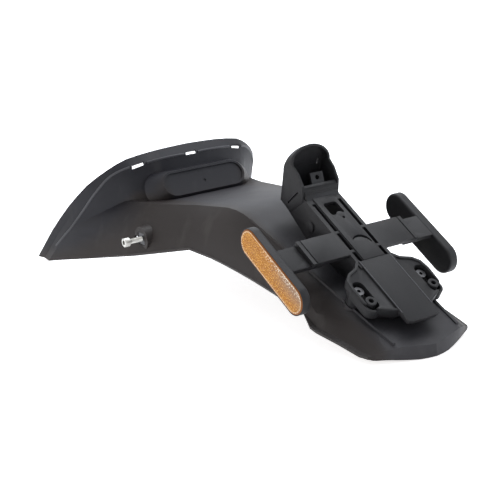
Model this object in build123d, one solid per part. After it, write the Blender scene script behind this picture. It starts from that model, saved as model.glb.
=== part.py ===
"""Motorbike tail tidy: rear mudguard shell with its number-plate bracket and side reflectors.

Lies on its open wheel side. X runs across the bike, +Y points to the bike's front, +Z is up.
"""
import math
import os

from build123d import *

os.makedirs("parts", exist_ok=True)

# Driving dimensions, millimetres and degrees
WALL = 2.6                # mudguard skin
ROOF_KINK_Y = 87.0        # where the roof turns from the arch to the tail
TAIL_Y, TAIL_Z = -101.0, 13.9   # rear corner of the tail's roof
TAIL_RISE = 0.398         # rise of the tail's roof per millimetre forward
FACE_ANGLE = 30.0         # plate face to the floor
FACE_Z = 84.0             # height of the plate face over the origin
SPINE_W = 36.6            # bracket spine across
PLATE_T = 3.0             # bracket top skin
RIB_T = 2.4               # bracket side walls
ARM_V0, ARM_V1 = -32.0, -5.0    # arm edges along the plate face
ARM_END = 55.0            # arm tip from the centre plane
LENS_L, LENS_W, LENS_T = 90.0, 24.0, 4.0
LENS_V, LENS_DROP = -15.4, 15.8  # lens centre along and below the plate face
LENS_FACE = 81.0          # lens outer face from the centre plane
HOLDER_MARGIN = 0.8       # holder lip around the lens
HOLDER_DEPTH = 8.0
SEAT_L, SEAT_W = 91.0, 25.0      # bare reflector seat on the arch
SEAT_Y, SEAT_Z, SEAT_ANGLE = 215.5, 86.0, 56.0
POD_X = 32.5              # pod screws and bosses from the centre plane
POD_SCREW_V, POD_BOSS_V = -66.0, -81.0
POD_RECESS = 8.0          # screw seat below the plate face
POD_SKIRT, POD_BASE = 7.5, 9.6   # pod side walls, and the narrower base below its plate
M5, M5_CLEAR = 2.5, 2.75  # radii
M4, M4_CLEAR = 2.0, 2.15
SIDE_Y, SIDE_Z, SIDE_FACE = 200.0, 45.0, 82.5   # side fixing boss

COS = math.cos(math.radians(FACE_ANGLE))
SIN = math.sin(math.radians(FACE_ANGLE))
FACE = Plane(origin=(0, 0, FACE_Z), x_dir=(1, 0, 0), z_dir=(0, -SIN, COS))
SIDES = {"left": -1, "right": 1}


def roof_z(y):
    """Height of the tail's flat roof."""
    return TAIL_Z + TAIL_RISE * (y - TAIL_Y)


def face_yz(v, w):
    """Side-view point v along and w above the plate face."""
    return (v * COS - w * SIN, FACE_Z + v * SIN + w * COS)


def face_box(x0, x1, v0, v1, w0, w1):
    """Box laid along the plate face."""
    box = Pos((x0 + x1) / 2, (v0 + v1) / 2, (w0 + w1) / 2) * Box(x1 - x0, v1 - v0, w1 - w0)
    return FACE.location * box


def face_cyl(x, v, r, w0, w1):
    """Round post square to the plate face."""
    return FACE.location * (Pos(x, v, (w0 + w1) / 2) * Cylinder(r, w1 - w0))


def side_prism(points, half):
    """Side-view outline drawn in Y and Z, extruded both ways across the bike."""
    outline = Plane.YZ * make_face(Polyline(*points, close=True))
    return extrude(outline, half, both=True)


def half_space(origin, normal):
    """Everything on the side of a plane that its normal points to."""
    return Plane(origin=origin, z_dir=normal).location * (Pos(0, 0, 300) * Box(900, 900, 600))


def stadium(plane, length, width, start, end):
    """Round-ended bar on a plane, from start to end along its normal."""
    sketch = plane.offset(start) * SlotOverall(length, width)
    return extrude(sketch, end - start, dir=plane.z_dir)


def write(name, shape):
    shape.label = name
    parts[name] = shape


parts = {}


# Mudguard skin: rows of points from the rear edge to the rim, right half, centre to lower edge
def skin_row(y, roof_x, roof, edge_x, edge, lip=0.6, step=1.4, full=3.0, knee=None):
    """Cross-section of the roof, its creased shoulder, the sloping side, bent at a knee, and its lip."""
    top = [(0, y, roof), (0.55 * roof_x, y, roof), (roof_x - 2, y, roof), (roof_x + 1.2, y, roof - step)]
    x0, z0 = roof_x + 1.2, roof - step
    x1, z1 = edge_x - lip, edge + 0.45 * min(lip, 2.0)
    if knee:
        half = ((x0 + knee[0]) / 2, y, (z0 + knee[1]) / 2 + 0.5)
        return top + [half, (knee[0], y, knee[1]), (x1, y, z1), (edge_x, y, edge)]
    side = []
    for f in (0.3, 0.66):
        bulge = full * math.sin(math.pi * f)
        side.append((x0 + (x1 - x0) * f + 0.75 * bulge, y, z0 + (z1 - z0) * f + 0.66 * bulge))
    return top + side + [(x1, y, z1), (edge_x, y, edge)]


def blend(row_a, row_b, f, push):
    """Row between two others, pushed forward to hollow the arch."""
    out = []
    for i, (a, b) in enumerate(zip(row_a, row_b)):
        p = [a[k] + (b[k] - a[k]) * f for k in range(3)]
        p[1] += push * max(0.0, 1 - i / 6)
        out.append(tuple(p))
    return out


fold = [(0, 222, 71.5), (36, 226, 71.2), (63, 241, 70.4), (69.5, 250, 69), (88, 268, 57), (105, 291, 43),
        (113, 311, 22.5), (119, 328, 1.7)]
rim_in = [(0, 237.2, 107.8), (35, 238.8, 106.4), (63.4, 245, 102.2), (78, 252.6, 94), (92, 266.2, 80),
          (103.4, 290.4, 58.8), (111.2, 317.4, 30), (117.4, 340.6, 1.7)]
rim_out = [(0, 246, 115), (35, 247.6, 113.4), (64, 253, 108.6), (81.5, 261, 99), (97, 273.5, 85),
           (107.5, 296, 62), (114.5, 323, 33.5), (120, 350, 1.7)]
rows = [
    [(0, -109.4, 0.8), (15, -106.3, 0.9), (30, -100.3, 2.4), (36, -97.6, 3.2), (41, -95, 3.6),
     (46, -92.4, 3.8), (49.6, -91.0, 4.4), (52.2, -89.2, 5.4)],
    [(0, -108.5, 10.9), (17, -105, 12.3), (31, -101.5, 13.7), (34.2, -100, 12.8), (40.5, -96.5, 11.6),
     (46, -92.6, 9.2), (49.4, -90.4, 7.4), (52.6, -88.2, 7.0)],
    skin_row(-80, 34.2, roof_z(-80), 54.6, 7.6, lip=4, knee=(38.2, 19.6)),
    skin_row(-58, 35.2, roof_z(-58), 56.8, 11.4, lip=4, knee=(43.4, 25.0)),
    skin_row(-34, 36.6, roof_z(-34), 60, 15.2, lip=4, knee=(50.6, 26.4)),
    skin_row(-26, 37.0, roof_z(-26), 59.6, 16.4, lip=4, knee=(53.0, 26.4)),
    skin_row(-15, 37.7, roof_z(-15), 58, 25.4),
    skin_row(20, 40.5, roof_z(20), 61.7, 34.0),
    skin_row(48, 43, roof_z(48), 63.6, 39.2),
    skin_row(70, 45, roof_z(70), 65.2, 42.6),
    skin_row(82, 45.8, 85.6, 66.0, 44.1),
    skin_row(ROOF_KINK_Y + 6, 46, 87.0, 66.8, 45.4),
    skin_row(106, 46.4, 86.8, 67.7, 46.6),
    skin_row(138, 47.5, 82.4, 70, 47.6),
    skin_row(154, 48.6, 80.2, 74.1, 43.6),
    skin_row(182, 54.5, 76.4, 81.4, 36.5),
    skin_row(207, 60, 72.9, 88.0, 30.2),
    [(0, 214, 72.2), (35, 216, 72), (61.5, 226, 71.6), (65.5, 231, 70.2), (79.5, 243, 57.5), (91, 254, 43),
     (101, 264, 22), (104, 268, 14.9)],
    fold,
    blend(fold, rim_in, 0.3, 3.0),
    blend(fold, rim_in, 0.66, 3.2),
    rim_in,
    rim_out,
]


def spline_row(row):
    """Whole-width row with a smooth point between each two of the half's points."""
    pts = [Vector(-p[0], p[1], p[2]) for p in reversed(row[1:])] + [Vector(*p) for p in row]
    out = []
    for i in range(len(pts) - 1):
        a, b = pts[max(i - 1, 0)], pts[i]
        c, d = pts[i + 1], pts[min(i + 2, len(pts) - 1)]
        out.append(b)
        flat = abs(b.Z - c.Z) < 1e-6 or i in (0, len(pts) - 2)
        out.append((b + c) * 0.5 + (b - a + c - d) * (0.0 if flat else 0.045))
    out.append(pts[-1])
    return out


def skin(half_rows, thickness):
    """Solid sheet whose outer side runs through the rows."""
    outer = [spline_row(r) for r in half_rows]
    n, m = len(outer), len(outer[0])
    inner = []
    for i in range(n):
        line = []
        for j in range(m):
            along = outer[min(i + 1, n - 1)][j] - outer[max(i - 1, 0)][j]
            across = outer[i][min(j + 1, m - 1)] - outer[i][max(j - 1, 0)]
            line.append(outer[i][j] - across.cross(along).normalized() * thickness)
        inner.append(line)

    def patch(a, b, c, d):
        return Face.make_surface_from_curves(Edge.make_line(a, b), Edge.make_line(d, c))

    faces = []
    for i in range(n - 1):
        for j in range(m - 1):
            for g in (outer, inner):
                faces.append(patch(g[i][j], g[i][j + 1], g[i + 1][j + 1], g[i + 1][j]))
    for i in range(n - 1):
        for j in (0, m - 1):
            faces.append(patch(outer[i][j], outer[i + 1][j], inner[i + 1][j], inner[i][j]))
    for j in range(m - 1):
        for i in (0, n - 1):
            faces.append(patch(outer[i][j], outer[i][j + 1], inner[i][j + 1], inner[i][j]))
    return Solid(Shell(faces))


guard = skin(rows, WALL)

# Bare reflector seat on a hollow boss behind the arch
seat_n = (0, -math.sin(math.radians(SEAT_ANGLE)), math.cos(math.radians(SEAT_ANGLE)))
SEAT = Plane(origin=(0, SEAT_Y, SEAT_Z), x_dir=(1, 0, 0), z_dir=seat_n)
boss_base = SEAT.offset(-15) * SlotOverall(SEAT_L + 26, SEAT_W + 14)
boss_top = SEAT * SlotOverall(SEAT_L, SEAT_W)
guard += loft([boss_base.face(), boss_top.face()])
guard -= stadium(SEAT, SEAT_L - 4, SEAT_W - 4, -1.3, 3)
guard -= stadium(SEAT, SEAT_L - 8, SEAT_W - 8, -22, -4)
guard -= half_space((0, 262, 80), (0, 0.9, -0.42)) & (Pos(0, 262, 86) * Box(140, 60, 44))
guard -= SEAT.location * (Pos(0, -2, -1.5) * Cylinder(1.6, 1.2))

# Rim slots
slot_n = (0, -0.74, 0.67)
for x, y, z in ((-56, 244.6, 102.4), (0, 239, 106.2), (56, 244.6, 102.4)):
    guard -= Plane(origin=(x, y, z), x_dir=(1, 0, 0), z_dir=slot_n).location * Box(12, 3.4, 14)

# Side fixing bosses: level posts on the sloping walls, each with a nut pocket
wall_a, wall_b, wall_c = Vector(60, 207, 72.9), Vector(88, 207, 30.2), Vector(74.1, 154, 43.6)
wall_n = (wall_b - wall_a).cross(wall_c - wall_a).normalized()
if wall_n.X < 0:
    wall_n = wall_n * -1
for s in SIDES.values():
    outside = half_space((s * wall_a.X, wall_a.Y, wall_a.Z), (s * wall_n.X, wall_n.Y, wall_n.Z))
    post = Pos(s * (SIDE_FACE - 15), SIDE_Y, SIDE_Z) * Rot(0, 90, 0) * Cylinder(11.5, 30)
    guard += post & outside
    pocket = Pos(s * SIDE_FACE, SIDE_Y, SIDE_Z) * Box(9, 11.2, 11.2)
    mouth = Pos(s * SIDE_FACE, SIDE_Y + 6, SIDE_Z - 2) * Box(6, 14, 6.5)
    bore = Pos(s * (SIDE_FACE - 12), SIDE_Y, SIDE_Z) * Rot(0, 90, 0) * Cylinder(M5_CLEAR, 50)
    guard -= [pocket, mouth, bore]

# Beads along the edges of the tail's roof
BEAD_W, BEAD_H = 2.2, 0.9
bead_y0, bead_y1 = TAIL_Y + 4, 72.0
bead_side = side_prism([(bead_y0, roof_z(bead_y0) - 1.5), (bead_y1, roof_z(bead_y1) - 1.5),
                        (bead_y1, roof_z(bead_y1) + BEAD_H), (bead_y0, roof_z(bead_y0) + BEAD_H)], 60)
beads = []
for s in SIDES.values():
    x0, x1 = s * 33.0, s * 45.0
    plan = make_face(Polyline((x0 - BEAD_W / 2, bead_y0), (x0 + BEAD_W / 2, bead_y0), (x1 + BEAD_W / 2, bead_y1),
                              (x1 - BEAD_W / 2, bead_y1), close=True))
    beads.append(extrude(plan, 120) & bead_side)
guard += beads

# Roof bosses under the pod screws, square to the plate face, and the spine screw's hole
ROOF_BOSS = (-25.0, -17.5)
SPINE_V = -12.0
for s in SIDES.values():
    guard += face_cyl(s * POD_X, POD_SCREW_V, 7.5, *ROOF_BOSS)
    guard -= face_cyl(s * POD_X, POD_SCREW_V, M5_CLEAR, -40, 0)
guard += face_cyl(0, SPINE_V, 8.0, -31.5, -25.5)
guard -= face_cyl(0, SPINE_V, M5_CLEAR, -45, -10)

# Plate bracket: spine with side walls standing on the roof, then pod, tongue, arms and lamp hood
under_roof = side_prism([(-160, roof_z(-160)), (75, roof_z(75)), (75, -60), (-160, -60)], 90)
front_foot = 25.0
spine_side = [face_yz(46, 0), face_yz(-48, 0), (-30, roof_z(-30)), (front_foot, roof_z(front_foot)), (64, 96.8)]
spine = side_prism(spine_side, SPINE_W / 2)
hollow_side = [face_yz(60, -PLATE_T), face_yz(-60, -PLATE_T), (-30, -40), (front_foot, 0), (80, 60)]
spine -= side_prism(hollow_side, SPINE_W / 2 - RIB_T)

pod_pts = [(18.3, -40), (23.5, -46), (33.5, -50), (38.8, -56), (40.2, -66), (39.2, -80), (35.5, -87.5),
           (26.5, -92.5), (17, -97)]
pod_outline = make_face(Polyline(*pod_pts, *[(-x, v) for x, v in reversed(pod_pts)], close=True))
pod_outline = fillet(pod_outline.vertices().filter_by(lambda p: abs(p.X) > 20), 3.2)
pod_inner = offset(pod_outline, -RIB_T)
pod = extrude(FACE * pod_outline, -POD_SKIRT)
pod += extrude(FACE.offset(-PLATE_T) * offset(pod_outline, -3.0), -POD_BASE)
pod -= extrude(FACE.offset(-PLATE_T) * offset(pod_outline, -3.0 - RIB_T), -60)
pod -= extrude(FACE.offset(-1.2) * pod_inner, 5)
bracket = spine + pod
bracket -= face_box(-15.9, 15.9, -60, -30, -60, -PLATE_T)

# Tongue over the pod and the raised centre strip of the spine
tongue_pts = [(16.5, -41), (16.5, -109), (12, -110.6), (0, -111.2)]
tongue = make_face(Polyline(*tongue_pts, *[(-x, v) for x, v in reversed(tongue_pts[:-1])], close=True))
bracket += extrude(FACE.offset(-PLATE_T) * tongue, PLATE_T + 0.6)
bracket += face_box(-11, 11, -41, 35, -PLATE_T, 1.0)

# Pod fixings: long wells, posts to the roof bosses, and flush bosses for the plate
WELL_L, WELL_W, WELL_V = 30.5, 10.8, -73.8
for s in SIDES.values():
    x = s * POD_X
    well = Pos(x, WELL_V) * Rot(0, 0, 90)
    bracket += face_cyl(x, POD_SCREW_V, 6.8, ROOF_BOSS[1], -POD_RECESS)
    bracket += extrude(FACE.offset(-POD_RECESS - 2.2) * (well * SlotOverall(WELL_L + 3.6, WELL_W + 3.6)), POD_RECESS)
    bracket -= extrude(FACE.offset(-POD_RECESS) * (well * SlotOverall(WELL_L, WELL_W)), POD_RECESS + 3)
    bracket += face_cyl(x, POD_BOSS_V, 4.6, -POD_RECESS - 1, 0)
    bracket -= face_cyl(x, POD_SCREW_V, M5_CLEAR, -60, 0)
    bracket -= face_cyl(x, POD_BOSS_V, M5 - 0.3, -POD_RECESS + 1, 3)
bracket += face_cyl(0, SPINE_V, 5.5, -25.5, -PLATE_T)
bracket -= face_cyl(0, SPINE_V, M5, -40, -8)

# Arms: flat straps, with a hole for each holder's screw
SCREW_X, SCREW_V = 48.0, -18.5
for s in SIDES.values():
    x0, x1 = sorted((s * (SPINE_W / 2 - 1), s * ARM_END))
    bracket += face_box(x0, x1, ARM_V0, ARM_V1, -3.5, 0)
    bracket -= face_cyl(s * SCREW_X, SCREW_V, M4, -10, -0.8)
    bracket -= face_box(s * (ARM_END - 4) - 0.6, s * (ARM_END - 4) + 0.6, ARM_V0, ARM_V1, -0.7, 1)

# Lamp hood: hollow wedge with a round top, open to the rear, and its stepped sill
MOUTH = Plane(origin=(0, 31.7, 113.2), x_dir=(1, 0, 0), z_dir=(0, -0.936, 0.351))


def hood_outline(inset):
    cap = Pos(0, 21) * Ellipse(20.4 - inset, 13.6 - inset)
    low = make_face(Polyline((18.3 - inset, -30), (20.2 - inset, 20), (-20.2 + inset, 20), (-18.3 + inset, -30),
                             close=True))
    return cap + low


hood_side = [(33, 100), (32, 113.5), (38, 123.5), (44.8, 129.5), (45.8, 147), (49.5, 147), (56.5, 126), (64, 96.8),
             (52, 88)]
hood = side_prism(hood_side, 30) & extrude(MOUTH * hood_outline(0), 60, both=True)
cavity_side = [(37, 108.6), (10, 120), (30, 156), (46.8, 144), (54, 125.4), (60.8, 98.4)]
cavity = side_prism(cavity_side, 30) & extrude(MOUTH * hood_outline(2.0), 60, both=True)
hood -= cavity
hood -= side_prism(hollow_side, SPINE_W / 2 - RIB_T)
sill = side_prism([face_yz(34, 0), face_yz(36.5, 2.4), face_yz(38.4, 2.8), face_yz(39.6, 5.2), face_yz(41.4, 5.6),
                   face_yz(42.4, 7.7), face_yz(44.8, 7.7), face_yz(47, -2)], 17.0)
bracket += [hood, sill]

# Lamp tab standing behind the sill, the wire slot in the hood's back, and the hood's parting groove
TAB = Plane(origin=(0.6, 37.0, 115.0), x_dir=(1, 0, 0), z_dir=(0, -0.957, 0.29))
TAB_T = 2.4
bracket += TAB.location * (Pos(0, 0, -TAB_T / 2) * Box(13, 14, TAB_T))
bracket -= TAB.location * (Pos(0, 2.6, -TAB_T / 2) * Cylinder(2.0, 8))
bracket -= Pos(13.5, 54, 127) * Box(2.2, 14, 5.5)
groove_side = [(53.2, 95.2), (54.1, 96.4), (39.3, 107.9), (38.4, 106.7)]
for s in SIDES.values():
    groove = side_prism(groove_side, 40) - Box(2 * (SPINE_W / 2 - 0.9), 300, 400)
    bracket -= groove
    bracket += Pos(s * SPINE_W / 2, 23.5, 80.7) * Rot(0, 90, 0) * Cylinder(4.6, 3.2)

# Long slots beside the centre strip, bridged at the arm edges, and the strip's openings
for s in SIDES.values():
    for v0, v1 in ((-4.5, 29.5), (-27.4, -7.2), (-41.5, -30.0)):
        bracket -= face_box(s * 13.4 - 1.7, s * 13.4 + 1.7, v0, v1, -8, 4)
opening = fillet((Pos(0.8, 19.5) * Rectangle(13.6, 14.6)).vertices(), 2.6) - Pos(2.4, 11.2) * Circle(3.8)
bracket -= extrude(FACE.offset(-8) * opening, 14)
bracket -= face_cyl(3.0, 7.6, 1.3, -8, 4)
crescent = Pos(1, -23) * Circle(8.6) - Pos(-0.6, -26) * Circle(9.2)
crescent -= Pos(0, -33) * Rectangle(30, 16)
bracket -= extrude(FACE.offset(-8) * crescent, 14)
bracket -= [under_roof, *beads]

# Clear the roof bosses out of the bracket
for s in SIDES.values():
    bracket -= face_cyl(s * POD_X, POD_SCREW_V, 7.6, -40, ROOF_BOSS[1])
bracket -= face_cyl(0, SPINE_V, 8.1, -40, -25.5)

write("mudguard", guard)
write("plate_bracket", bracket)

# Reflector holders with their necks, the lenses, and each side's fasteners
neck_w1 = -3.5
neck_w0 = neck_w1 - 4.0
lens_yz = face_yz(LENS_V, -LENS_DROP)
for side, s in SIDES.items():
    out = Plane(origin=(s * LENS_FACE, *lens_yz), x_dir=(0, COS, SIN), z_dir=(s, 0, 0))
    long, wide = LENS_L + 2 * HOLDER_MARGIN, LENS_W + 2 * HOLDER_MARGIN
    holder = stadium(out, long, wide, -HOLDER_DEPTH, 0)
    back = holder.faces().sort_by(Axis.X)[0 if s > 0 else -1]
    holder = fillet(back.edges(), 2.0)
    x0, x1 = sorted((s * 42.0, s * (LENS_FACE - HOLDER_DEPTH + 1)))
    holder += face_box(x0, x1, ARM_V0 + 1.5, ARM_V1 - 1.5, neck_w0, neck_w1)
    holder -= stadium(out, LENS_L, LENS_W, 0.6 - LENS_T, 2)
    holder -= stadium(out, LENS_L - 5, LENS_W - 5, 2.2 - HOLDER_DEPTH, 0)
    holder -= face_cyl(s * SCREW_X, SCREW_V, M4_CLEAR, -12, 0)
    write(f"reflector_holder_{side}", holder)

    lens = stadium(out, LENS_L, LENS_W, 0.6 - LENS_T, 0.6)
    face = lens.faces().sort_by(Axis.X)[-1 if s > 0 else 0]
    write(f"reflector_lens_{side}", chamfer(face.edges(), 0.8))

    screw = face_cyl(s * SCREW_X, SCREW_V, M4, neck_w0, -0.8)
    screw += face_cyl(s * SCREW_X, SCREW_V, 3.6, neck_w0 - 2.6, neck_w0)
    write(f"holder_screw_{side}", screw)

    x = s * POD_X
    seat = -POD_RECESS
    write(f"pod_washer_{side}", face_cyl(x, POD_SCREW_V, 5.2, seat, seat + 1) - face_cyl(x, POD_SCREW_V, M5, seat - 1, 3))
    screw = face_cyl(x, POD_SCREW_V, M5, -31.5, seat + 1) + face_cyl(x, POD_SCREW_V, 4.4, seat + 1, seat + 4)
    hexagon = Pos(x, POD_SCREW_V) * RegularPolygon(4.1, 6, major_radius=False)
    screw -= extrude(FACE.offset(seat + 2) * (Pos(x, POD_SCREW_V) * RegularPolygon(1.5, 6, major_radius=False)), 4)
    write(f"pod_screw_{side}", screw)
    nut = extrude(FACE.offset(ROOF_BOSS[0] - 4.6) * hexagon, 4.6)
    write(f"pod_nut_{side}", nut - face_cyl(x, POD_SCREW_V, M5, -40, 0))

    nut = Pos(s * (SIDE_FACE - 2.5), SIDE_Y, SIDE_Z) * Box(4, 11, 11)
    axis = Pos(0, SIDE_Y, SIDE_Z) * Rot(0, 90, 0)
    write(f"clip_nut_{side}", nut - axis * Cylinder(M5, 400))
    screw = axis * (Pos(0, 0, s * 85.5) * Cylinder(M5, 21)) + axis * (Pos(0, 0, s * 98.5) * Cylinder(4.25, 5))
    socket = Plane(origin=(s * 98.5, SIDE_Y, SIDE_Z), x_dir=(0, 1, 0), z_dir=(s, 0, 0))
    screw -= extrude(socket * RegularPolygon(2.0, 6, major_radius=False), 6, dir=(s, 0, 0))
    write(f"side_screw_{side}", screw)

washer = face_cyl(0, SPINE_V, 6.5, -32.5, -31.5) - face_cyl(0, SPINE_V, M5, -40, 0)
write("spine_washer", washer)
write("spine_screw", face_cyl(0, SPINE_V, M5, -32.5, -8) + face_cyl(0, SPINE_V, 4.6, -36, -32.5))

# Set the row's origin under the middle of the box and write the nodes
boxes = [shape.bounding_box() for shape in parts.values()]
low_y, high_y = min(b.min.Y for b in boxes), max(b.max.Y for b in boxes)
low_z = min(b.min.Z for b in boxes)
shift = Pos(0, -(low_y + high_y) / 2, -low_z)
for name, shape in parts.items():
    print(name, type(shape).__name__, round(shape.volume), len(shape.solids()), shape.is_valid)
    export_step(shift * shape, f"parts/{name}.step")
print("shift", shift.position)
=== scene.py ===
"""Looks of the tail tidy: moulded black plastic, amber prism reflectors and zinc fasteners on white."""
import math

import bpy
from mathutils import Matrix, Vector


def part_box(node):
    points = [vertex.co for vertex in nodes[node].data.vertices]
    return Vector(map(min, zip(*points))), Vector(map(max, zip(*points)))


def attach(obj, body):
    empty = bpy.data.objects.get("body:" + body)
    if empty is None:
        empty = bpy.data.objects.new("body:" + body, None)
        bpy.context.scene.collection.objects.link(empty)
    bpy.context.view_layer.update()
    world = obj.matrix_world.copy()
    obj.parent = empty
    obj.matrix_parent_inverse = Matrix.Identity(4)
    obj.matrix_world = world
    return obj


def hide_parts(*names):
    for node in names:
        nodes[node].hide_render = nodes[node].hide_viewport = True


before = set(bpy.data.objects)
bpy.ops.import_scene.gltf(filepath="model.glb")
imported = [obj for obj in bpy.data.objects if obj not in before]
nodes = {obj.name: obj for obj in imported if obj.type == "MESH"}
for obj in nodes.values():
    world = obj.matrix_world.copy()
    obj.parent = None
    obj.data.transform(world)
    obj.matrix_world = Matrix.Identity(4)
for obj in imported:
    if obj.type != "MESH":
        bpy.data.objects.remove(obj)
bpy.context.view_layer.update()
SIDES = (("left", -1), ("right", 1))  # name and direction along X

# Lens layout in the row frame, metres: slope, centre, radius and half spacing of the round ends
FACE_ANGLE = math.radians(30)
LENS_LOW, LENS_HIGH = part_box("reflector_lens_left")
LENS_MID = (LENS_LOW + LENS_HIGH) / 2
LENS_R = 0.012
LENS_HALF = 0.033
ALONG = Vector((0, math.cos(FACE_ANGLE), math.sin(FACE_ANGLE)))
ACROSS = Vector((0, -math.sin(FACE_ANGLE), math.cos(FACE_ANGLE)))

# Zones of the mudguard, metres, for its painted light on the roof and painted shade in the arch. The arch
# meets the side walls where FOLD_SLOPE * |x| + z = FOLD_SUM.
FOLD_SLOPE, FOLD_SUM, FOLD_BAND = 1.22, 0.146, 0.012
ARCH_Y, HOLLOW_Z, ROOF_X = (0.090, 0.104), (0.074, 0.080), (0.044, 0.036)

# Tones, linear
BLACK, WHITE = (0, 0, 0), (1, 1, 1)
DUST = (0.30, 0.28, 0.26, 1)
AMBER_DEEP = (0.290, 0.092, 0.004), (0.390, 0.142, 0.009)
AMBER_PALE = (0.52, 0.22, 0.020), (0.82, 0.45, 0.09)
# Painted light on the lens: reflection as haze, glints and a highlight line; BORDER is the lens's own rim
# colour
PAINTED_REFLECTION, PAINTED_GLINT = (0.26, 0.185, 0.135, 1), (0.92, 0.84, 0.70, 1)
PAINTED_HIGHLIGHT_LINE, BORDER = (0.86, 0.70, 0.48, 1), (0.235, 0.075, 0.009, 1)

# Texture scales, per metre
FLOW, SMEAR, SHEEN, MOULD_GRAIN = 9.0, 46.0, 42.0, 1500.0
PLATE_TONE, PLATE_SHEEN, PLATE_GRAIN = 300.0, 900.0, 2600.0
CELLS, PATCHES, PAPER = 660.0, 95.0, 3.0
SMEAR_STRETCH = (1.0, 1.0, 0.22)


class Shader:
    """A node material with short ways to add and join nodes."""

    def __init__(self, name):
        self.mat = bpy.data.materials.new(name)
        self.mat.use_nodes = True
        self.tree = self.mat.node_tree
        self.bsdf = self.tree.nodes["Principled BSDF"]

    def add(self, kind, **inputs):
        node = self.tree.nodes.new("ShaderNode" + kind)
        for key, value in inputs.items():
            self.put(node, key, value)
        return node

    def put(self, node, key, value):
        """Joins or sets an input, by its name or by _ and its number."""
        socket = node.inputs[int(key[1:])] if key[0] == "_" else node.inputs[key.replace("_", " ")]
        if isinstance(value, bpy.types.NodeSocket):
            self.tree.links.new(value, socket)
        else:
            socket.default_value = value

    def set(self, **inputs):
        for key, value in inputs.items():
            self.put(self.bsdf, key, value)

    def math(self, op, a, b=0.0):
        node = self.add("Math", _0=a, _1=b)
        node.operation = op
        return node.outputs[0]

    def ramp(self, fac, *stops):
        node = self.add("ValToRGB", Fac=fac)
        cr = node.color_ramp
        while len(cr.elements) < len(stops):
            cr.elements.new(0.5)
        for element, (place, color) in zip(cr.elements, stops):
            element.position = place
            element.color = (*color, 1)
        return node.outputs["Color"]

    def range(self, value, lo, hi):
        """0 to 1 spread over another range."""
        return self.add("MapRange", Value=value, To_Min=lo, To_Max=hi).outputs[0]

    def rise(self, value, start, end):
        """0 at start, 1 at end and even in between."""
        return self.add("MapRange", Value=value, From_Min=start, From_Max=end).outputs[0]

    def mix(self, fac, low, high):
        """Colour between two others."""
        node = self.add("Mix", Factor=fac)
        node.data_type = "RGBA"
        self.put(node, "_6", low)
        self.put(node, "_7", high)
        return node.outputs[2]

    def noise(self, coords, scale, detail=3.0):
        return self.add("TexNoise", Vector=coords, Scale=scale, Detail=detail).outputs["Fac"]

    def place(self):
        return self.add("TexCoord").outputs["Object"]

    def grain(self, height, strength, distance):
        bump = self.add("Bump", Strength=strength, Distance=distance, Height=height)
        self.set(Normal=bump.outputs["Normal"])


# Mask of the arch's painted shade
def arch_shade_share(s, place):
    """1 inside the arch, above the line where it meets the side walls, and 0 on the walls."""
    part = s.add("SeparateXYZ", Vector=place)
    wide = s.math("MULTIPLY", s.math("ABSOLUTE", part.outputs["X"]), FOLD_SLOPE)
    front = s.rise(part.outputs["Y"], *ARCH_Y)
    above = s.rise(s.math("ADD", wide, part.outputs["Z"]), FOLD_SUM, FOLD_SUM + FOLD_BAND)
    hollow = s.rise(part.outputs["Z"], *HOLLOW_Z)
    return s.math("MULTIPLY", front, s.math("MAXIMUM", above, hollow))


# Mask of the roof's painted light from above
def roof_light_share(s, place):
    """1 along the roof and 0 on the walls."""
    part = s.add("SeparateXYZ", Vector=place)
    return s.rise(s.math("ABSOLUTE", part.outputs["X"]), *ROOF_X)


def plastic(name, dark, pale, rough, grain, dust, painted_light_tones=None):
    """Moulded plastic: fine grain, faint flow marks, a sheen that varies and handling smears.

    Where the last two tones are given, the first goes on the roof as painted light from above, lighter and
    cooler, and the second in the arch as painted shade, darker and cooler.
    """
    s = Shader(name)
    place = s.place()
    flow = s.noise(place, FLOW, 4.0)
    color = s.ramp(flow, (0.3, dark), (0.72, pale))
    if painted_light_tones:
        # Painted light and shade: a lighter, cooler roof and a darker, cooler arch
        roof, arch = (s.ramp(flow, (0.3, tuple(0.8 * c for c in tone)), (0.72, tone)) for tone in painted_light_tones)
        color = s.mix(roof_light_share(s, place), color, roof)
        color = s.mix(arch_shade_share(s, place), color, arch)
    stretch = s.add("Mapping", Vector=place, Scale=SMEAR_STRETCH)
    smear = s.ramp(s.noise(stretch.outputs["Vector"], SMEAR, 5.0), (0.56, BLACK), (0.86, WHITE))
    worn = s.math("MULTIPLY", smear, dust)
    sheen = s.range(s.noise(place, SHEEN), rough - 0.05, rough + 0.07)
    s.set(Base_Color=s.mix(worn, color, DUST), Roughness=s.math("ADD", sheen, worn), Specular_IOR_Level=0.24)
    s.grain(s.noise(place, MOULD_GRAIN, 2.0), grain, 0.0002)
    return s.mat


def metal(name, color, rough):
    """Zinc plate with a fine, uneven grain."""
    s = Shader(name)
    place = s.place()
    low = tuple(c * 0.78 for c in color)
    s.set(Base_Color=s.ramp(s.noise(place, PLATE_TONE), (0.3, low), (0.7, color)), Metallic=1.0)
    s.set(Roughness=s.range(s.noise(place, PLATE_SHEEN), rough, rough + 0.16))
    s.grain(s.noise(place, PLATE_GRAIN, 1.0), 0.15, 0.0001)
    return s.mat


def lens_place(s):
    """Places along and across the sloping lens, from its middle."""
    c, d = math.cos(-FACE_ANGLE), math.sin(-FACE_ANGLE)
    mid = (LENS_MID.y * c - LENS_MID.z * d, LENS_MID.y * d + LENS_MID.z * c)
    turn = s.add("Mapping", Vector=s.place(), Rotation=(-FACE_ANGLE, 0, 0), Location=(0, -mid[0], -mid[1]))
    part = s.add("SeparateXYZ", Vector=turn.outputs["Vector"])
    return part.outputs["Y"], part.outputs["Z"]


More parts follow.
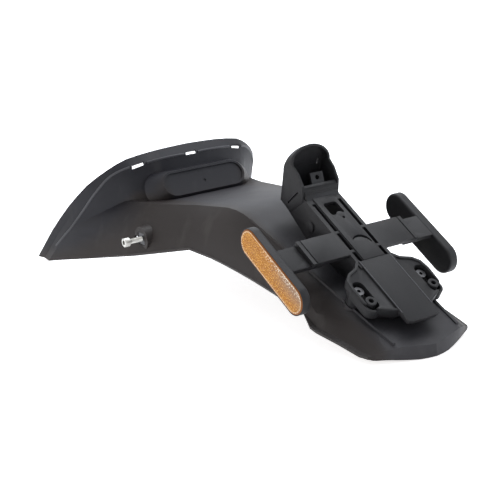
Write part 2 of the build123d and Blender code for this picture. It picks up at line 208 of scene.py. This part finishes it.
def amber():
    """Prism reflector: amber cells with painted glints and a painted reflection as haze over the lower end,
    inside a plain border with a painted highlight line.
    """
    s = Shader("amber prism")
    along, across = lens_place(s)
    past = s.math("MAXIMUM", s.math("SUBTRACT", s.math("ABSOLUTE", along), LENS_HALF), 0.0)
    reach = s.math("SQRT", s.math("ADD", s.math("POWER", past, 2.0), s.math("POWER", across, 2.0)))
    # Painted highlight: a light ring just inside the border
    line = s.ramp(s.math("DIVIDE", reach, LENS_R), (0.0, BLACK), (0.790, BLACK), (0.815, WHITE),
                  (0.875, WHITE), (0.900, BLACK), (1.0, BLACK))
    border = s.rise(reach, 0.885 * LENS_R, 0.905 * LENS_R)
    # Amber cells
    flat = s.add("CombineXYZ", X=along, Y=across).outputs["Vector"]
    cells = s.add("TexVoronoi", Vector=flat, Scale=CELLS, Randomness=0.5)
    cells.voronoi_dimensions = "2D"
    core = s.ramp(cells.outputs["Distance"], (0.16, WHITE), (0.46, BLACK))
    chance = s.add("SeparateColor", Color=cells.outputs["Color"]).outputs[0]
    patch = s.noise(flat, PATCHES, 2.0)
    deep = s.ramp(patch, (0.32, AMBER_DEEP[0]), (0.70, AMBER_DEEP[1]))
    pale = s.ramp(chance, (0.10, AMBER_PALE[0]), (0.90, AMBER_PALE[1]))
    # Painted reflection as a haze over the lower end, and painted glints beside its upper edge
    reflection_share = s.math("MULTIPLY", s.rise(along, 0.004, -0.020), s.rise(across, -0.005, 0.007))
    color = s.mix(s.math("MULTIPLY", reflection_share, 0.72), s.mix(core, deep, pale), PAINTED_REFLECTION)
    lucky = s.ramp(chance, (0.42, BLACK), (0.58, WHITE))
    glint_strip = s.math("MULTIPLY", s.rise(across, 0.0045, 0.0085), s.rise(along, 0.020, 0.006))
    color = s.mix(s.math("MULTIPLY", s.math("MULTIPLY", core, lucky), glint_strip), color, PAINTED_GLINT)
    # The painted highlight ring, dotted by the cells, then the plain border
    edge = s.math("MULTIPLY", line, s.math("ADD", s.math("MULTIPLY", core, 0.55), 0.22))
    color = s.mix(border, s.mix(edge, color, PAINTED_HIGHLIGHT_LINE), BORDER)
    s.set(Base_Color=color, Roughness=s.range(patch, 0.30, 0.46), Coat_Weight=0.06, Coat_Roughness=0.10,
          IOR=1.49, Specular_IOR_Level=0.20)
    return s.mat


# On the guard, the roof tone is painted light from above and the arch tone is painted shade
GUARD = plastic("guard plastic", (0.0185, 0.0148, 0.0138), (0.0285, 0.0234, 0.0216), 0.50, 0.30, 0.10,
                painted_light_tones=((0.0300, 0.0285, 0.0318), (0.0155, 0.0155, 0.0200)))
# Paler plastic of the rim bead and tongue ribs: a painted highlight along them
EDGE = plastic("painted highlight plastic", (0.052, 0.051, 0.056), (0.080, 0.079, 0.086), 0.34, 0.12, 0.02)
BRACKET = plastic("bracket plastic", (0.0115, 0.0112, 0.0122), (0.0180, 0.0176, 0.0190), 0.48, 0.34, 0.04)
ZINC = metal("zinc plate", (0.56, 0.555, 0.53), 0.24)
DARK = metal("dark zinc", (0.11, 0.11, 0.115), 0.36)
LENS = amber()

finish = {"mudguard": GUARD, "plate_bracket": BRACKET, "spine_screw": ZINC, "spine_washer": ZINC}
for side, _ in SIDES:
    finish[f"reflector_holder_{side}"] = BRACKET
    finish[f"reflector_lens_{side}"] = LENS
    for item in ("clip_nut", "pod_screw", "pod_washer"):
        finish[f"{item}_{side}"] = DARK
    for item in ("side_screw", "holder_screw", "pod_nut"):
        finish[f"{item}_{side}"] = ZINC


def smooth_group(angle):
    """Modifier tree that shades faces smooth and keeps edges over an angle sharp."""
    tree = bpy.data.node_groups.new("smooth by angle", "GeometryNodeTree")
    tree.interface.new_socket("Geometry", in_out="INPUT", socket_type="NodeSocketGeometry")
    tree.interface.new_socket("Geometry", in_out="OUTPUT", socket_type="NodeSocketGeometry")
    start, end = tree.nodes.new("NodeGroupInput"), tree.nodes.new("NodeGroupOutput")
    faces, edges = (tree.nodes.new("GeometryNodeSetShadeSmooth") for _ in range(2))
    edges.domain = "EDGE"
    edges.inputs["Shade Smooth"].default_value = False
    bend = tree.nodes.new("GeometryNodeInputMeshEdgeAngle")
    test = tree.nodes.new("ShaderNodeMath")
    test.operation = "GREATER_THAN"
    test.inputs[1].default_value = angle
    link = tree.links.new
    link(start.outputs[0], faces.inputs["Geometry"])
    link(faces.outputs[0], edges.inputs["Geometry"])
    link(bend.outputs["Unsigned Angle"], test.inputs[0])
    link(test.outputs[0], edges.inputs["Selection"])
    link(edges.outputs[0], end.inputs[0])
    return tree


SMOOTH = smooth_group(math.radians(32))
CREASED = smooth_group(math.radians(17))
WELD, BEVEL_ANGLE = 0.00001, math.radians(40)
EDGE_ROUND = {"plate_bracket": 0.0003, "reflector_holder_left": 0.0003, "reflector_holder_right": 0.0003}


def soften(obj, bevel=0.0, tree=SMOOTH):
    """Joins split corners, rounds edges where a bevel is given, and shades smooth."""
    weld = obj.modifiers.new("weld", "WELD")
    weld.merge_threshold = WELD
    if bevel:
        cut = obj.modifiers.new("edge", "BEVEL")
        cut.width = bevel
        cut.segments = 2
        cut.limit_method = "ANGLE"
        cut.angle_limit = BEVEL_ANGLE
        cut.use_clamp_overlap = True
    shade = obj.modifiers.new("shade", "NODES")
    shade.node_group = tree


for name, obj in nodes.items():
    obj.data.materials.clear()
    obj.data.materials.append(finish[name])
    if obj.data.attributes.get("custom_normal"):
        obj.data.attributes.remove(obj.data.attributes["custom_normal"])
    soften(obj, EDGE_ROUND.get(name, 0.0), CREASED if name == "mudguard" else SMOOTH)


def piece(name, verts, faces, mat):
    """New mesh piece that rides on the part."""
    mesh = bpy.data.meshes.new(name)
    mesh.from_pydata(verts, [], faces)
    mesh.materials.append(mat)
    obj = bpy.data.objects.new(name, mesh)
    bpy.context.scene.collection.objects.link(obj)
    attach(obj, "root")
    return obj


# Prism field of each lens: hexagon pyramids in staggered rows inside the plain border
PRISM_PITCH, PRISM_H, PRISM_SINK = 0.0015, 0.00022, 0.00003
ROW_STEP, PRISM_BORDER = 0.866, 0.0024


def prism_field(side, out):
    low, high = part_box(f"reflector_lens_{side}")
    mid = (low + high) / 2
    mid.x = low.x if out < 0 else high.x
    normal = Vector((out, 0, 0))
    base = mid - normal * PRISM_SINK
    radius = PRISM_PITCH / math.sqrt(3)
    verts, faces = [], []
    rows = int(LENS_R / (PRISM_PITCH * ROW_STEP)) + 1
    columns = int((LENS_HALF + LENS_R) / PRISM_PITCH) + 1
    for j in range(-rows, rows + 1):
        for i in range(-columns, columns + 1):
            a, b = (i + 0.5 * (j % 2)) * PRISM_PITCH, j * PRISM_PITCH * ROW_STEP
            past = max(abs(a) - LENS_HALF, 0.0)
            if math.hypot(past, b) > LENS_R - PRISM_BORDER:
                continue
            centre = base + ALONG * a + ACROSS * b
            start = len(verts)
            verts.append(centre + normal * (PRISM_H + PRISM_SINK))
            for k in range(6):
                turn = math.pi / 6 + k * math.pi / 3
                verts.append(centre + (ALONG * math.cos(turn) + ACROSS * math.sin(turn)) * radius)
            for k in range(6):
                ring = (start + 1 + k, start + 1 + (k + 1) % 6)
                faces.append((start, *(ring if out > 0 else ring[::-1])))
    obj = piece(f"prism_field_{side}", verts, faces, LENS)


# Side screws with a rolled thread, a rounded head and a hexagon socket, in place of the plain CAD screws
THREAD_R, THREAD_DEPTH, THREAD_PITCH, THREAD_LEAD = 0.0025, 0.00042, 0.0008, 0.0012
HEAD_R, HEAD_L, SOCKET_R, SOCKET_L, HEAD_ROUND = 0.00425, 0.005, 0.0023, 0.0025, 0.0005
TURNS, PITCH_STEPS = 36, 6


def screw_rings(length, out):
    """Rings of (place along the screw, radius) from the tip to the socket's floor."""
    shank = length - HEAD_L
    steps = int(shank / (THREAD_PITCH / PITCH_STEPS))
    rings = []
    for i in range(steps + 1):
        t = shank * i / steps
        taper = min(1.0, t / THREAD_LEAD)
        dips = [abs(2 * ((t / THREAD_PITCH - out * k / TURNS) % 1.0) - 1) for k in range(TURNS)]
        rings.append([(t, THREAD_R - THREAD_DEPTH * (dip * taper + (1 - taper))) for dip in dips])
    bend = 0.3 * HEAD_ROUND
    head = ((shank, HEAD_R), (length - HEAD_ROUND, HEAD_R), (length - bend, HEAD_R - bend),
            (length, HEAD_R - HEAD_ROUND))
    rings += [[ring] * TURNS for ring in head]
    hexagon = [SOCKET_R * math.cos(math.pi / 6)
               / math.cos((2 * math.pi * k / TURNS) % (math.pi / 3) - math.pi / 6) for k in range(TURNS)]
    rings += [[(t, r) for r in hexagon] for t in (length, length - SOCKET_L)]
    return rings


def side_screw(side, out):
    low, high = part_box(f"side_screw_{side}")
    tip, end = (high.x, low.x) if out < 0 else (low.x, high.x)
    y, z = (low.y + high.y) / 2, (low.z + high.z) / 2
    rings = screw_rings(abs(end - tip), out)
    verts, faces = [], []
    for ring in rings:
        for k, (t, r) in enumerate(ring):
            a = 2 * math.pi * k / TURNS
            verts.append((tip + out * t, y + r * math.cos(a), z + r * math.sin(a)))
    for i in range(len(rings) - 1):
        for k in range(TURNS):
            n = (k + 1) % TURNS
            quad = (i * TURNS + k, i * TURNS + n, (i + 1) * TURNS + n, (i + 1) * TURNS + k)
            faces.append(quad if out > 0 else quad[::-1])
    first, last = tuple(range(TURNS)), tuple(range((len(rings) - 1) * TURNS, len(rings) * TURNS))
    faces.append(first[::-1] if out > 0 else first)
    faces.append(last if out > 0 else last[::-1])
    obj = piece(f"threaded_screw_{side}", verts, faces, ZINC)
    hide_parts(f"side_screw_{side}")
    soften(obj)


# Raised lines: a bead along the arch's inner rim, open at the slots, and a rib along each edge of the tongue,
# all in a paler plastic that paints a highlight along them.
# RIM_HALF is in millimetres, in the drawing's frame; CENTRE_Y and FLOOR_Z take it to the row frame, metres.
CENTRE_Y, FLOOR_Z = 0.1206459, 0.0005502
RIM_HALF = [(0, 237, 107), (30, 238.5, 106.5), (45, 240.5, 105), (64, 245.5, 102.5), (80, 256, 94),
            (91.5, 266, 79), (99.5, 283, 57.5), (106, 294.5, 42), (110.5, 305.5, 30.5), (114, 318, 18.5)]
RIM_SLOTS, SLOT_HALF = (-0.056, 0.0, 0.056), 0.0068
RIM_W, RIM_H, RIM_SPANS, LEAN_REACH, SPOT_REACH = 0.0024, 0.0010, 8, 4, 1
RIB_X, RIB_W, RIB_H, RIB_START, RIB_END, RIB_SPANS = 0.0158, 0.0011, 0.0005, 0.004, 0.064, 12
PROBE_IN, PROBE_Z = 0.006, 0.2
BEAD_SINK, BEAD_SECTION = 0.0002, 7


def bead(name, spots, normals, width, height):
    """Half-round strand along a line of spots on a surface."""
    verts, faces, count, n_sec = [], [], len(spots), BEAD_SECTION
    for i, (spot, normal) in enumerate(zip(spots, normals)):
        way = (spots[min(i + 1, count - 1)] - spots[max(i - 1, 0)]).normalized()
        across = way.cross(normal).normalized()
        for k in range(n_sec):
            a = math.pi * k / (n_sec - 1)
            rise = math.sin(a) * height - BEAD_SINK
            verts.append(spot + across * math.cos(a) * width / 2 + normal * rise)
    for i in range(count - 1):
        for k in range(n_sec):
            n = (k + 1) % n_sec
            faces.append((i * n_sec + k, (i + 1) * n_sec + k, (i + 1) * n_sec + n, i * n_sec + n))
    faces.append(tuple(reversed(range(n_sec))))
    faces.append(tuple(range((count - 1) * n_sec, count * n_sec)))
    # The paler plastic paints a highlight along the strand
    obj = piece(name, verts, faces, EDGE)
    soften(obj)


def spline(points, spans):
    """Smooth line through the points."""
    out = []
    for i in range(len(points) - 1):
        a, b = points[max(i - 1, 0)], points[i]
        c, d = points[i + 1], points[min(i + 2, len(points) - 1)]
        for k in range(spans):
            t = k / spans
            out.append(0.5 * (2 * b + (c - a) * t + (2 * a - 5 * b + 4 * c - d) * t ** 2
                              + (3 * b - a - 3 * c + d) * t ** 3))
    return out + [points[-1]]


def evened(vectors, reach):
    """Sum of each vector and its neighbours, with the end ones repeated."""
    last = len(vectors) - 1
    return [sum((vectors[min(max(i + k, 0), last)] for k in range(-reach, reach + 1)), Vector())
            for i in range(last + 1)]


def rim_beads():
    half = [Vector((x / 1000, y / 1000 - CENTRE_Y, z / 1000 - FLOOR_Z)) for x, y, z in RIM_HALF]
    mirror = [Vector((-p.x, p.y, p.z)) for p in reversed(half[1:])]
    spots, normals = [], []
    for p in spline(mirror + half, RIM_SPANS):
        _, spot, normal, _ = nodes["mudguard"].closest_point_on_mesh(p)
        spots.append(spot)
        normals.append(normal if normal.dot(Vector((p.x * 5, -1, 0.5))) > 0 else -normal)
    normals = [n.normalized() for n in evened(normals, LEAN_REACH)]
    spots = [p / (2 * SPOT_REACH + 1) for p in evened(spots, SPOT_REACH)]
    runs = [[]]
    for spot, normal in zip(spots, normals):
        if any(abs(spot.x - x) < SLOT_HALF for x in RIM_SLOTS):
            runs.append([])
        else:
            runs[-1].append((spot, normal))
    for number, run in enumerate(r for r in runs if len(r) > 1):
        bead(f"rim_bead_{number}", [p for p, _ in run], [n for _, n in run], RIM_W, RIM_H)


def tongue_rib(side, out):
    low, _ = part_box("plate_bracket")
    probe = Vector((out * RIB_X, low.y + PROBE_IN, PROBE_Z))
    _, tip, _, _ = nodes["plate_bracket"].ray_cast(probe, Vector((0, 0, -1)))
    count = RIB_SPANS + 1
    spots = [tip + ALONG * (RIB_START + (RIB_END - RIB_START) * i / RIB_SPANS) for i in range(count)]
    bead(f"tongue_rib_{side}", spots, [ACROSS] * count, RIB_W, RIB_H)


for side, out in SIDES:
    prism_field(side, out)
for side, out in SIDES:
    side_screw(side, out)
rim_beads()
for side, out in SIDES:
    tongue_rib(side, out)

# Stage: white floor just under the part
FLOOR_HALF, FLOOR_DROP = 6, 0.0004
floor_mesh = bpy.data.meshes.new("floor")
corners = [(x * FLOOR_HALF, y * FLOOR_HALF, 0) for x, y in ((-1, -1), (1, -1), (1, 1), (-1, 1))]
floor_mesh.from_pydata(corners, [], [(0, 1, 2, 3)])
floor = bpy.data.objects.new("floor", floor_mesh)
floor.location.z = -FLOOR_DROP
bpy.context.scene.collection.objects.link(floor)
paper = Shader("white floor")
speck = paper.noise(paper.place(), PAPER)
paper.set(Base_Color=paper.ramp(speck, (0.2, (0.90, 0.90, 0.90)), (0.8, (0.92, 0.92, 0.92))), Roughness=0.9,
          Emission_Color=(1.0, 0.985, 0.97, 1), Emission_Strength=0.80)
floor_mesh.materials.append(paper.mat)


def softbox(name, place, target, size, power, color):
    """Square or oblong lamp at a place, turned to a target."""
    data = bpy.data.lights.new(name, "AREA")
    data.shape = "RECTANGLE"
    data.size, data.size_y = size
    data.energy = power
    data.color = color
    lamp = bpy.data.objects.new(name, data)
    lamp.location = place
    lamp.rotation_mode = "QUATERNION"
    lamp.rotation_quaternion = (Vector(target) - Vector(place)).to_track_quat("-Z", "Y")
    bpy.context.scene.collection.objects.link(lamp)


softbox("top", (0.4, 0.35, 1.5), (0, 0, 0), (1.3, 1.3), 19, (0.92, 0.95, 1.0))
softbox("side", (-1.5, 0.3, 0.6), (0, 0, 0.05), (0.8, 0.8), 4, (1.0, 0.95, 0.91))
softbox("back", (0.6, 1.4, 0.8), (0, 0, 0.05), (1.3, 0.7), 3.5, (0.82, 0.90, 1.0))
softbox("rear", (1.1, -1.1, 0.8), (0, 0, 0.05), (0.9, 0.9), 5, (0.78, 0.87, 1.0))

# World: light that falls off towards the viewer's side, and plain white where it is seen or mirrored
SKY_TONE, VIEWER_SIDE = (0.82, 0.87, 0.97, 1), (0, -1, 0)
SKY_FALL = {"From Min": -0.2, "From Max": 0.9, "To Min": 0.66, "To Max": 0.16}
world = bpy.data.worlds.new("studio")
bpy.context.scene.world = world
world.use_nodes = True
sky = world.node_tree
ground = sky.nodes["Background"]
ground.inputs["Color"].default_value = SKY_TONE
way = sky.nodes.new("ShaderNodeTexCoord")
toward = sky.nodes.new("ShaderNodeVectorMath")
toward.operation = "DOT_PRODUCT"
toward.inputs[1].default_value = VIEWER_SIDE
level = sky.nodes.new("ShaderNodeMapRange")
for key, value in SKY_FALL.items():
    level.inputs[key].default_value = value
sky.links.new(way.outputs["Generated"], toward.inputs[0])
sky.links.new(toward.outputs["Value"], level.inputs["Value"])
sky.links.new(level.outputs[0], ground.inputs["Strength"])
seen = sky.nodes.new("ShaderNodeBackground")
seen.inputs["Color"].default_value = (*WHITE, 1)
seen.inputs["Strength"].default_value = 1.0
path = sky.nodes.new("ShaderNodeLightPath")
share = path.outputs["Is Camera Ray"]
for kind in ("Is Glossy Ray", "Is Transmission Ray"):
    more = sky.nodes.new("ShaderNodeMath")
    more.operation = "MAXIMUM"
    sky.links.new(share, more.inputs[0])
    sky.links.new(path.outputs[kind], more.inputs[1])
    share = more.outputs[0]
mix = sky.nodes.new("ShaderNodeMixShader")
sky.links.new(share, mix.inputs[0])
sky.links.new(ground.outputs[0], mix.inputs[1])
sky.links.new(seen.outputs[0], mix.inputs[2])
sky.links.new(mix.outputs[0], sky.nodes["World Output"].inputs["Surface"])

# Camera, as in the photograph
CAM_LENS, CAM_SENSOR = 90, 36
CAM_PLACE = Vector((-0.6188, -0.898046, 0.37055))
CAM_RIGHT = Vector((0.8209, -0.5691, -0.0468)).normalized()
CAM_AHEAD = Vector((0.5331, 0.7932, -0.2944)).normalized()
CAM_UP = CAM_RIGHT.cross(CAM_AHEAD).normalized()
cam_data = bpy.data.cameras.new("photo camera")
cam_data.lens = CAM_LENS
cam_data.sensor_width = CAM_SENSOR
cam = bpy.data.objects.new("photo camera", cam_data)
axes = Matrix((CAM_RIGHT, CAM_UP, -CAM_AHEAD)).transposed().to_4x4()
cam.matrix_world = Matrix.Translation(CAM_PLACE) @ axes
bpy.context.scene.collection.objects.link(cam)
bpy.context.scene.camera = cam
bpy.context.scene.view_settings.view_transform = "Standard"
